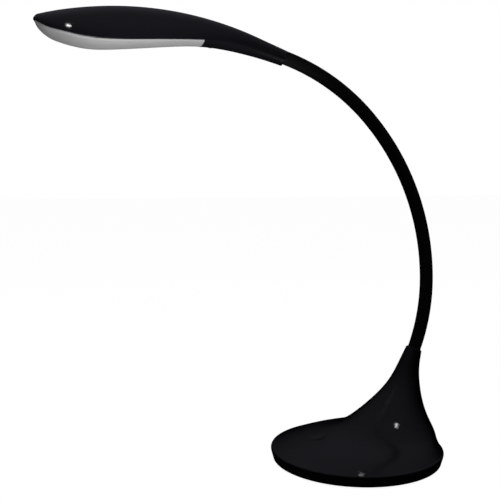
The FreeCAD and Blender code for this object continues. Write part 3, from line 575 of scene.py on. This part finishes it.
def half_head_grid(sign, nose, inset, wall, start, end, rounding, bore=None):
    """Half of the head as a thick skin: rows run from the nose, columns once round a section.

    A column goes over the outside, a half ellipse from rim to rim, round a small edge, across the
    rim's face, back along the inside, a smaller half ellipse, and across the other rim face.
    """
    share = np.linspace(0, 1, HEAD_ROWS)[:, None] ** (2.0 if start <= HEAD_TIP + inset + 0.01 else 1.0)
    sweep = np.linspace(0, math.pi, SECTION_STEPS)[None, :]
    corner = np.linspace(0, math.pi / 2, EDGE_STEPS + 1)[None, 1:]

    def section(x0, edge, skin):
        """One half ellipse with rounded rims, at sheared places along X."""
        x = x0 + 0 * sweep
        for _ in range(3):
            width = head_width(x, nose, edge)
            height = head_height(x, sign, edge, skin)
            small = np.minimum(rounding, 0.4 * np.minimum(width, height))
            y = -width * np.cos(sweep)
            z = rim_height(x) + sign * (small + (height - small) * np.sin(sweep))
            x = x0 + collar_shear(x0, z)
        return x, y, z, width, small

    outer_start = max(start, HEAD_TIP + inset)
    x_out = outer_start + (end - outer_start) * share
    inner_start = max(start, HEAD_TIP + inset + wall)
    x_in = inner_start + (end - inner_start) * share
    xo, yo, zo, width, small = section(x_out, inset, 0.0)
    xi, yi, zi, _, _ = section(x_in, inset + wall, wall)
    if bore is not None:
        last, angle = neck_line(np.array(NECK_LENGTH))
        past = NECK_LENGTH + (x_in - last[0]) / math.cos(float(angle))
        seat = around_neck(past + 0 * sweep, np.full((HEAD_ROWS, sweep.size), bore),
                           np.arctan2(-np.cos(sweep), -sign * np.sin(sweep)) + 0 * past)
        mix = smooth_step(x_in + 0 * sweep, COLLAR_X - SOCKET_RUN, COLLAR_X - SOCKET_FULL)
        xi, yi, zi = (skin * (1 - mix) + seat[..., i] * mix for i, skin in enumerate((xi, yi, zi)))
    columns = [np.stack([xo, yo, zo], axis=-1)]
    for side, column in ((1, -1), (-1, 0)):
        edge_x = xo[:, column][:, None] + 0 * corner
        across = (width[:, column] - small[:, column])[:, None] + small[:, column][:, None] * np.cos(corner)
        rise = rim_height(edge_x) + sign * small[:, column][:, None] * (1 - np.sin(corner))
        columns.append(np.stack([edge_x, side * across, rise], axis=-1))
    far_edge, near_edge = columns[1], columns[2][:, ::-1]
    inside = np.stack([xi, yi, zi], axis=-1)[:, ::-1]
    return np.concatenate([columns[0], far_edge, inside, near_edge], axis=1)


def end_ring(grid, row):
    """Closes the end of a thick skin: joins the outside of its last section to the inside."""
    section = grid[row]
    outside_end = SECTION_STEPS + EDGE_STEPS
    outer = np.concatenate([section[-EDGE_STEPS:], section[:outside_end]])
    inner = section[outside_end:outside_end + SECTION_STEPS][::-1]
    pick = np.round(np.linspace(0, len(inner) - 1, len(outer))).astype(int)
    return np.stack([outer, inner[pick]], axis=0)


def half_head_mesh(name, sign, nose, inset, wall, start, end, rounding, bore=None):
    """Upper half of the head, or with a sign of -1 the lower, closed where it is cut across."""
    grid = half_head_grid(sign, nose, inset, wall, start, end, rounding, bore)
    grids = [(grid, False, True), (end_ring(grid, -1), False, False)]
    if start > HEAD_TIP + 10:
        grids.append((end_ring(grid, 0), False, False))
    return mesh_from_grids(name, grids, sharp_angle=40.0)


def screw_mesh(name, spots, radius, height, level):
    """Pan heads seen from below, each with a cross recess.

    The head's face is a shallow dome, and the cross sinks it where a point is near either arm.
    """
    turn = np.linspace(0, TURN, 96, endpoint=False)[None, :]
    reach = np.linspace(0, 1, 40)[:, None] * radius
    x, y = reach * np.cos(turn), reach * np.sin(turn)
    dome = DOME_RISE * (reach / radius) ** 2 + 0 * turn
    arm = np.minimum(np.abs(x), np.abs(y))
    length = np.maximum(np.abs(x), np.abs(y))
    cross = (1 - smooth_step(arm, 0.28, 0.42)) * (1 - smooth_step(length, 1.05, 1.3))
    face = -height + dome + CROSS_DEPTH * cross
    grids = []
    for centre_x, centre_y in spots:
        front = np.stack([centre_x + x, centre_y + y, level + face], axis=-1)
        side = np.stack([front[-1], front[-1]])
        side[1, :, 2] = level
        middle = np.broadcast_to(np.array([centre_x, centre_y, level]), side[1].shape)
        grids += [(front, False, True), (side, False, True),
                  (np.stack([side[1], middle]), False, True)]
    return mesh_from_grids(name, grids)


# Finishes

def surface_material(name, colour, roughness, **finish):
    """Shader with its own grain: noise over the surface varies roughness, colour and height.

    Grain sizes are in millimetres. The shader's plain numbers stay on its own sockets.
    """
    material = bpy.data.materials.new(name)
    material.use_nodes = True
    nodes, links = material.node_tree.nodes, material.node_tree.links
    shader = nodes["Principled BSDF"]
    shader.inputs["Metallic"].default_value = finish.get("metallic", 0.0)
    shader.inputs["IOR"].default_value = 1.49
    shader.inputs["Coat Weight"].default_value = finish.get("coat", 0.0)
    shader.inputs["Coat Roughness"].default_value = 0.05
    shader.inputs["Subsurface Weight"].default_value = finish.get("subsurface", 0.0)
    shader.inputs["Subsurface Radius"].default_value = (0.004, 0.004, 0.0038)
    place = nodes.new("ShaderNodeTexCoord")
    wear = nodes.new("ShaderNodeTexNoise")
    wear.inputs["Scale"].default_value = 1 / (finish.get("wear_size", 18.0) * MM)
    wear.inputs["Detail"].default_value = 5.0
    wear.inputs["Roughness"].default_value = 0.6
    links.new(place.outputs["Object"], wear.inputs["Vector"])
    spread = nodes.new("ShaderNodeMapRange")
    vary = finish.get("vary", 0.12)
    spread.inputs["From Min"].default_value = 0.3
    spread.inputs["From Max"].default_value = 0.7
    spread.inputs["To Min"].default_value = roughness * (1 - vary)
    spread.inputs["To Max"].default_value = min(roughness * (1 + vary), 1.0)
    links.new(wear.outputs["Fac"], spread.inputs["Value"])
    links.new(spread.outputs["Result"], shader.inputs["Roughness"])
    tint = nodes.new("ShaderNodeMix")
    tint.data_type = "RGBA"
    tone = finish.get("tone", 0.1)
    dark = tuple(c * (1 - tone) for c in colour)
    light = tuple(min(c * (1 + tone), 1.0) for c in colour)
    tint.inputs["A"].default_value = (*dark, 1)
    tint.inputs["B"].default_value = (*light, 1)
    links.new(wear.outputs["Fac"], tint.inputs["Factor"])
    links.new(tint.outputs["Result"], shader.inputs["Base Color"])
    grain = nodes.new("ShaderNodeTexNoise")
    grain.inputs["Scale"].default_value = 1 / (finish.get("grain_size", 0.5) * MM)
    grain.inputs["Detail"].default_value = 2.0
    links.new(place.outputs["Object"], grain.inputs["Vector"])
    bump = nodes.new("ShaderNodeBump")
    bump.inputs["Strength"].default_value = finish.get("bump", 0.1)
    bump.inputs["Distance"].default_value = finish.get("bump_height", 0.02) * MM
    links.new(grain.outputs["Fac"], bump.inputs["Height"])
    links.new(bump.outputs["Normal"], shader.inputs["Normal"])
    return material


NODE_FINISHES = {  # colour, roughness and grain of each kind of piece that the frame supplies
    "black_plastic": ((0.012, 0.012, 0.012), 0.55, {"grain_size": 0.35, "bump": 0.5, "bump_height": 0.04}),
    "ballast_iron": ((0.09, 0.088, 0.085), 0.6, {"metallic": 0.85, "grain_size": 0.8, "bump": 0.8,
                                                 "bump_height": 0.08, "tone": 0.25}),
    "screw_steel": ((0.55, 0.55, 0.53), 0.32, {"metallic": 1.0, "wear_size": 3.0}),
    "circuit_board": ((0.012, 0.09, 0.035), 0.3, {"coat": 0.4, "wear_size": 2.0, "tone": 0.3}),
    "white_board": ((0.8, 0.8, 0.78), 0.35, {"wear_size": 6.0}),
    "ferrite": ((0.03, 0.03, 0.032), 0.7, {"grain_size": 0.2, "bump": 0.6}),
    "capacitor_can": ((0.03, 0.035, 0.06), 0.3, {}),
    "white_plastic": ((0.75, 0.75, 0.72), 0.45, {}),
    "copper": ((0.72, 0.4, 0.25), 0.3, {"metallic": 1.0, "wear_size": 4.0, "tone": 0.2}),
    "spring_steel": ((0.5, 0.48, 0.44), 0.28, {"metallic": 1.0}),
    "contact_brass": ((0.78, 0.68, 0.42), 0.22, {"metallic": 1.0, "wear_size": 2.0}),
    "wire_insulation": ((0.02, 0.02, 0.02), 0.5, {"tone": 0.2}),
    "fitting_steel": ((0.58, 0.58, 0.58), 0.22, {"metallic": 1.0, "wear_size": 4.0}),
    "neck_steel": ((0.3, 0.3, 0.3), 0.4, {"metallic": 1.0, "wear_size": 3.0}),
    "aluminium_plate": ((0.7, 0.7, 0.71), 0.4, {"metallic": 1.0, "wear_size": 8.0}),
    "led_phosphor": ((0.85, 0.7, 0.25), 0.25, {"subsurface": 0.2}),
}


def frame_finish(name):
    """Finish that comes with the frame: one flat colour, without the grain of surface_material."""
    return bpy.data.materials[name]


# Pieces

class LAMP_OT_base(bpy.types.Operator):
    """Dish, funnel and touch dimple in one glossy shell, standing on a rubber pad"""
    bl_idname = "lamp.base"
    bl_label = "Base"

    def execute(self, context):
        shape = context.scene.lamp_shape
        cover = new_piece("base_cover", base_mesh(shape), frame_finish("gloss_black"))
        drill(cover, [((shape.base_radius / MM - 1.5, 0, JACK_LEVEL), (1, 0, 0), JACK_HOLE_RADIUS, 12)],
              sharp_angle=38.0)
        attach(cover, "base")
        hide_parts("base_shell")
        rubber = surface_material("foot_rubber", tuple(context.scene.lamp_finish.rubber_colour), 0.8,
                                  grain_size=0.6, bump=0.8, bump_height=0.06, tone=0.2)
        low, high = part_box("base_pad")
        pad = new_piece("foot_pad", pad_mesh((high.x - low.x) / 2 / MM), rubber)
        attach(pad, "base")
        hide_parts("base_pad")
        return {"FINISHED"}


class LAMP_OT_neck(bpy.types.Operator):
    """Silicone sleeve and the lead inside it, in twelve stretches, one for each joint"""
    bl_idname = "lamp.neck"
    bl_label = "Neck"

    def execute(self, context):
        shape = context.scene.lamp_shape
        radius, bore = shape.neck_radius / MM, shape.sleeve_bore / MM
        joints = sorted(frame["joints"], key=lambda joint: joint["name"][-2:])
        for number, joint in enumerate(joints, start=1):
            pivot = neck_pivot(number)
            start = pivot - NECK_LINK / 2 if number > 1 else -NECK_SEAT
            end = pivot + NECK_LINK / 2 if number < NECK_JOINTS else NECK_LENGTH + NECK_SEAT
            name = "sleeve_stretch_%02d" % number
            piece = new_piece(name, neck_mesh(name, start, end, radius, bore), frame_finish("silicone"))
            lead = new_piece("lead_stretch_%02d" % number, rod_mesh("lead", lead_path(number), LEAD_RADIUS),
                             frame_finish("wire_insulation"))
            reach = NECK_LINK / 2 if 1 < number < NECK_JOINTS else NECK_END_RUN
            ends, _ = neck_line(np.array([pivot - reach, pivot + reach]))
            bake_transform(piece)
            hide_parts("neck_sleeve_%02d" % (number - 1))
            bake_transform(lead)
            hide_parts("neck_lead")
            if number == NECK_JOINTS:
                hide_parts("neck_sleeve_%02d" % number)
        return {"FINISHED"}


class LAMP_OT_head(bpy.types.Operator):
    """Leaf-shaped head: glossy shell on top, frosted diffuser and tail cover underneath"""
    bl_idname = "lamp.head"
    bl_label = "Head"

    def execute(self, context):
        shape = context.scene.lamp_shape
        look = context.scene.lamp_finish
        nose, wall = shape.head_half_width / MM, shape.head_wall / MM
        bore = shape.neck_radius / MM + FIT_GAP
        black = frame_finish("gloss_black")
        shell = new_piece("head_cover", half_head_mesh("head_cover", 1, nose, 0.0, wall, HEAD_TIP,
                                                       NECK_END_X, 0.35, bore), black)
        tail = new_piece("tail_cover", half_head_mesh("tail_cover", -1, nose, 0.0, wall, NOTCH_X + 0.15,
                                                      NECK_END_X, 0.25, bore), black)
        holes = [((x, y, TAIL_SCREW_LEVEL - 5), (0, 0, 1), SCREW_HOLE_RADIUS, 10) for x, y in TAIL_SCREWS]
        drill(tail, holes, sharp_angle=40.0)
        frost = surface_material("frosted_diffuser", tuple(look.diffuser_colour), 0.42, vary=0.05,
                                 wear_size=30.0, tone=0.015, grain_size=0.25, bump=0.15, bump_height=0.02,
                                 subsurface=0.25)
        panel = new_piece("light_panel", half_head_mesh("light_panel", -1, nose, shape.diffuser_inset / MM,
                                                        shape.diffuser_wall / MM, HEAD_TIP, NOTCH_X - 0.15,
                                                        0.3), frost)
        dark_steel = surface_material("black_screw", (0.02, 0.02, 0.02), 0.35, metallic=0.8, wear_size=2.0,
                                      tone=0.3)
        heads = screw_mesh("tail_screw_heads", TAIL_SCREWS, SCREW_RADIUS, SCREW_HEIGHT, TAIL_SCREW_LEVEL)
        screws = new_piece("tail_screw_heads", heads, dark_steel)
        for piece, node in ((shell, "head_shell"), (tail, "under_cover"), (panel, "diffuser"),
                            (screws, "tail_screws")):
            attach(piece, "head")
            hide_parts(node)
        return {"FINISHED"}


class LAMP_OT_fittings(bpy.types.Operator):
    """Finishes for the pieces that come from the frame as they are: cover, inlet, boards and fittings"""
    bl_idname = "lamp.fittings"
    bl_label = "Fittings"

    def execute(self, context):
        slots = {row["node"]: row["material_slot"] for row in frame["record"]["subparts"]}
        made = {}
        for name, node in frame["nodes"].items():
            kind = slots.get(name)
            if kind not in NODE_FINISHES:
                continue
            if kind not in made:
                colour, roughness, finish = NODE_FINISHES[kind]
                made[kind] = surface_material(kind, colour, roughness, **finish)
            node.data.materials.clear()
            node.data.materials.append(made[kind])
        return {"FINISHED"}


# Stage, with its places and lamp sizes in metres and its powers in watts

SENSOR_WIDTH = 36.0
FLOOR_REACH = 6000.0
FLOOR_GLOW = 0.965
FLOOR_IN_GLOSS = 0.008
SOFT_STRENGTH = 0.02
CEILING_COLOUR = (0.86, 0.84, 1.0)
CEILING_STRENGTH = 0.18
FILL_BULB = (-0.26, -0.30, 0.05)
FILL_AIM = (-0.18, 0.0, 0.385)
BULB_RADIUS = 0.002
BULB_SPREAD = math.radians(1.0)
BULB_BLEND = 0.7
BULBS = (  # each stands where the head's side, the funnel or the dish's edge mirrors it to the camera
    ("head_bulb", (-0.246, -0.185, 0.505), (-0.256, -0.027, 0.383), 1.8),
    ("base_bulb", (0.033, -0.108, 0.225), (0.026, -0.033, 0.040), 0.6),
    ("edge_bulb", (0.008, -0.008, 0.198), (-0.023, -0.074, 0.012), 0.08),
)


def by_ray(nodes, links, plain, mirrored, seen):
    """Three shaders in one: seen for the camera, mirrored for gloss and plain for all other rays."""
    ray = nodes.new("ShaderNodeLightPath")
    gloss = nodes.new("ShaderNodeMixShader")
    links.new(ray.outputs["Is Glossy Ray"], gloss.inputs["Fac"])
    links.new(plain, gloss.inputs[1])
    links.new(mirrored, gloss.inputs[2])
    mix = nodes.new("ShaderNodeMixShader")
    links.new(ray.outputs["Is Camera Ray"], mix.inputs["Fac"])
    links.new(gloss.outputs["Shader"], mix.inputs[1])
    links.new(seen, mix.inputs[2])
    return mix.outputs["Shader"]


def stage_material(name, colour):
    """Diffuse floor that still takes a shadow; the camera sees it near white, gloss sees it dim."""
    material = bpy.data.materials.new(name)
    material.use_nodes = True
    nodes, links = material.node_tree.nodes, material.node_tree.links
    nodes.remove(nodes["Principled BSDF"])
    ground = nodes.new("ShaderNodeBsdfDiffuse")
    ground.inputs["Color"].default_value = (*colour, 1)
    dim = nodes.new("ShaderNodeBsdfDiffuse")
    dim.inputs["Color"].default_value = (FLOOR_IN_GLOSS, FLOOR_IN_GLOSS, FLOOR_IN_GLOSS, 1)
    glow = nodes.new("ShaderNodeEmission")
    glow.inputs["Strength"].default_value = FLOOR_GLOW
    lit = nodes.new("ShaderNodeAddShader")
    links.new(ground.outputs["BSDF"], lit.inputs[0])
    links.new(glow.outputs["Emission"], lit.inputs[1])
    surface = by_ray(nodes, links, ground.outputs["BSDF"], dim.outputs["BSDF"], lit.outputs["Shader"])
    links.new(surface, nodes["Material Output"].inputs["Surface"])
    return material


def add_lamp(name, place, aim, size, energy):
    """Soft round lamp that points from its place to its aim."""
    data = bpy.data.lights.new(name, "AREA")
    data.shape = "DISK"
    data.size = size
    data.energy = energy
    return aim_lamp(name, data, place, aim)


def aim_lamp(name, data, place, aim):
    """Puts a light at its place, turned towards its aim."""
    lamp = bpy.data.objects.new(name, data)
    bpy.context.scene.collection.objects.link(lamp)
    lamp.location = place
    direction = np.array(aim) - np.array(place)
    lamp.rotation_euler = (math.acos(-direction[2] / np.linalg.norm(direction)), 0,
                           math.atan2(direction[1], direction[0]) - math.pi / 2)
    return lamp


def add_bulb(name, place, aim, radius, spread, blend, energy):
    """Small bright bulb behind a snoot: it lights only a round patch about its aim."""
    data = bpy.data.lights.new(name, "SPOT")
    data.shadow_soft_size = radius
    data.spot_size = spread
    data.spot_blend = blend
    data.energy = energy
    return aim_lamp(name, data, place, aim)


def add_camera(stage):
    """Camera at the photograph's angle."""
    data = bpy.data.cameras.new("camera")
    data.sensor_fit = "HORIZONTAL"
    data.sensor_width = SENSOR_WIDTH
    data.lens = SENSOR_WIDTH / 2 / math.tan(stage.camera_angle / 2)
    data.clip_start = 0.01
    data.clip_end = 100.0
    camera = bpy.data.objects.new("camera", data)
    bpy.context.scene.collection.objects.link(camera)
    camera.location = stage.camera_place
    camera.rotation_euler = (math.pi / 2 + stage.camera_pitch, 0, -stage.camera_yaw)
    bpy.context.scene.camera = camera


def add_floor(colour):
    """Wide floor that faces up."""
    corner = np.array([-FLOOR_REACH, FLOOR_REACH])
    x, y = np.meshgrid(corner, corner, indexing="ij")
    plane = np.stack([x, y, np.zeros_like(x)], axis=-1)
    mesh = mesh_from_grids("floor", [(plane, False, False)])
    if mesh.polygons[0].normal.z < 0:
        mesh.flip_normals()
    floor = bpy.data.objects.new("floor", mesh)
    mesh.materials.append(stage_material("floor", colour))
    bpy.context.scene.collection.objects.link(floor)


def add_surroundings():
    """White to the camera, faint light all round, and a dim studio in the gloss.

    The studio is dark at the level of the table and has a grey ceiling overhead.
    """
    world = bpy.data.worlds.new("surroundings")
    bpy.context.scene.world = world
    world.use_nodes = True
    nodes, links = world.node_tree.nodes, world.node_tree.links
    seen = nodes["Background"]
    seen.inputs["Color"].default_value = (1, 1, 1, 1)
    soft = nodes.new("ShaderNodeBackground")
    soft.inputs["Color"].default_value = (1, 1, 1, 1)
    soft.inputs["Strength"].default_value = SOFT_STRENGTH
    ceiling = nodes.new("ShaderNodeBackground")
    ceiling.inputs["Color"].default_value = (*CEILING_COLOUR, 1)
    place = nodes.new("ShaderNodeTexCoord")
    height = nodes.new("ShaderNodeSeparateXYZ")
    links.new(place.outputs["Generated"], height.inputs["Vector"])
    rise = nodes.new("ShaderNodeMapRange")
    rise.interpolation_type = "SMOOTHSTEP"
    rise.inputs["From Min"].default_value = 0.0
    rise.inputs["From Max"].default_value = 1.0
    rise.inputs["To Min"].default_value = 0.0
    rise.inputs["To Max"].default_value = CEILING_STRENGTH
    links.new(height.outputs["Z"], rise.inputs["Value"])
    links.new(rise.outputs["Result"], ceiling.inputs["Strength"])
    surface = by_ray(nodes, links, soft.outputs["Background"], ceiling.outputs["Background"],
                     seen.outputs["Background"])
    links.new(surface, nodes["World Output"].inputs["Surface"])


class LAMP_OT_stage(bpy.types.Operator):
    """Camera, pale floor, white surroundings and soft studio light"""
    bl_idname = "lamp.stage"
    bl_label = "Stage"

    def execute(self, context):
        stage = context.scene.lamp_stage
        context.scene.view_settings.view_transform = "Standard"
        add_camera(stage)
        add_floor(tuple(stage.floor_colour))
        add_surroundings()
        sky = add_lamp("sky_panel", (-0.15, -0.35, 1.5), (0, 0, 0.2), 1.2, 1.0)
        sky.visible_glossy = False
        # A soft bulb low in front fills the diffuser from below, less towards the nose.
        add_bulb("fill_bulb", FILL_BULB, FILL_AIM, 0.08, math.radians(34), 1.0, 7.6)
        for name, place, aim, energy in BULBS:
            add_bulb(name, place, aim, BULB_RADIUS, BULB_SPREAD, BULB_BLEND, energy)
        return {"FINISHED"}


class LAMP_PT_panel(bpy.types.Panel):
    """Builds the lamp from the sidebar"""
    bl_label = "Desk Lamp"
    bl_idname = "LAMP_PT_panel"
    bl_space_type = "VIEW_3D"
    bl_region_type = "UI"
    bl_category = "Desk Lamp"

    def draw(self, context):
        for operator in OPERATORS:
            self.layout.operator(operator.bl_idname)
        for settings in (context.scene.lamp_shape, context.scene.lamp_finish, context.scene.lamp_stage):
            for name in settings.__annotations__:
                self.layout.prop(settings, name)


OPERATORS = (LAMP_OT_stage, LAMP_OT_fittings, LAMP_OT_base, LAMP_OT_neck, LAMP_OT_head)
CLASSES = (LampShape, LampFinish, StageSettings, *OPERATORS, LAMP_PT_panel)


def register():
    for cls in CLASSES:
        bpy.utils.register_class(cls)
    bpy.types.Scene.lamp_shape = bpy.props.PointerProperty(type=LampShape)
    bpy.types.Scene.lamp_finish = bpy.props.PointerProperty(type=LampFinish)
    bpy.types.Scene.lamp_stage = bpy.props.PointerProperty(type=StageSettings)


def unregister():
    del bpy.types.Scene.lamp_shape
    del bpy.types.Scene.lamp_finish
    del bpy.types.Scene.lamp_stage
    for cls in reversed(CLASSES):
        bpy.utils.unregister_class(cls)


def main():
    register()
    bpy.ops.lamp.stage()
    bpy.ops.lamp.fittings()
    bpy.ops.lamp.base()
    bpy.ops.lamp.neck()
    bpy.ops.lamp.head()


if __name__ == "__main__":
    main()
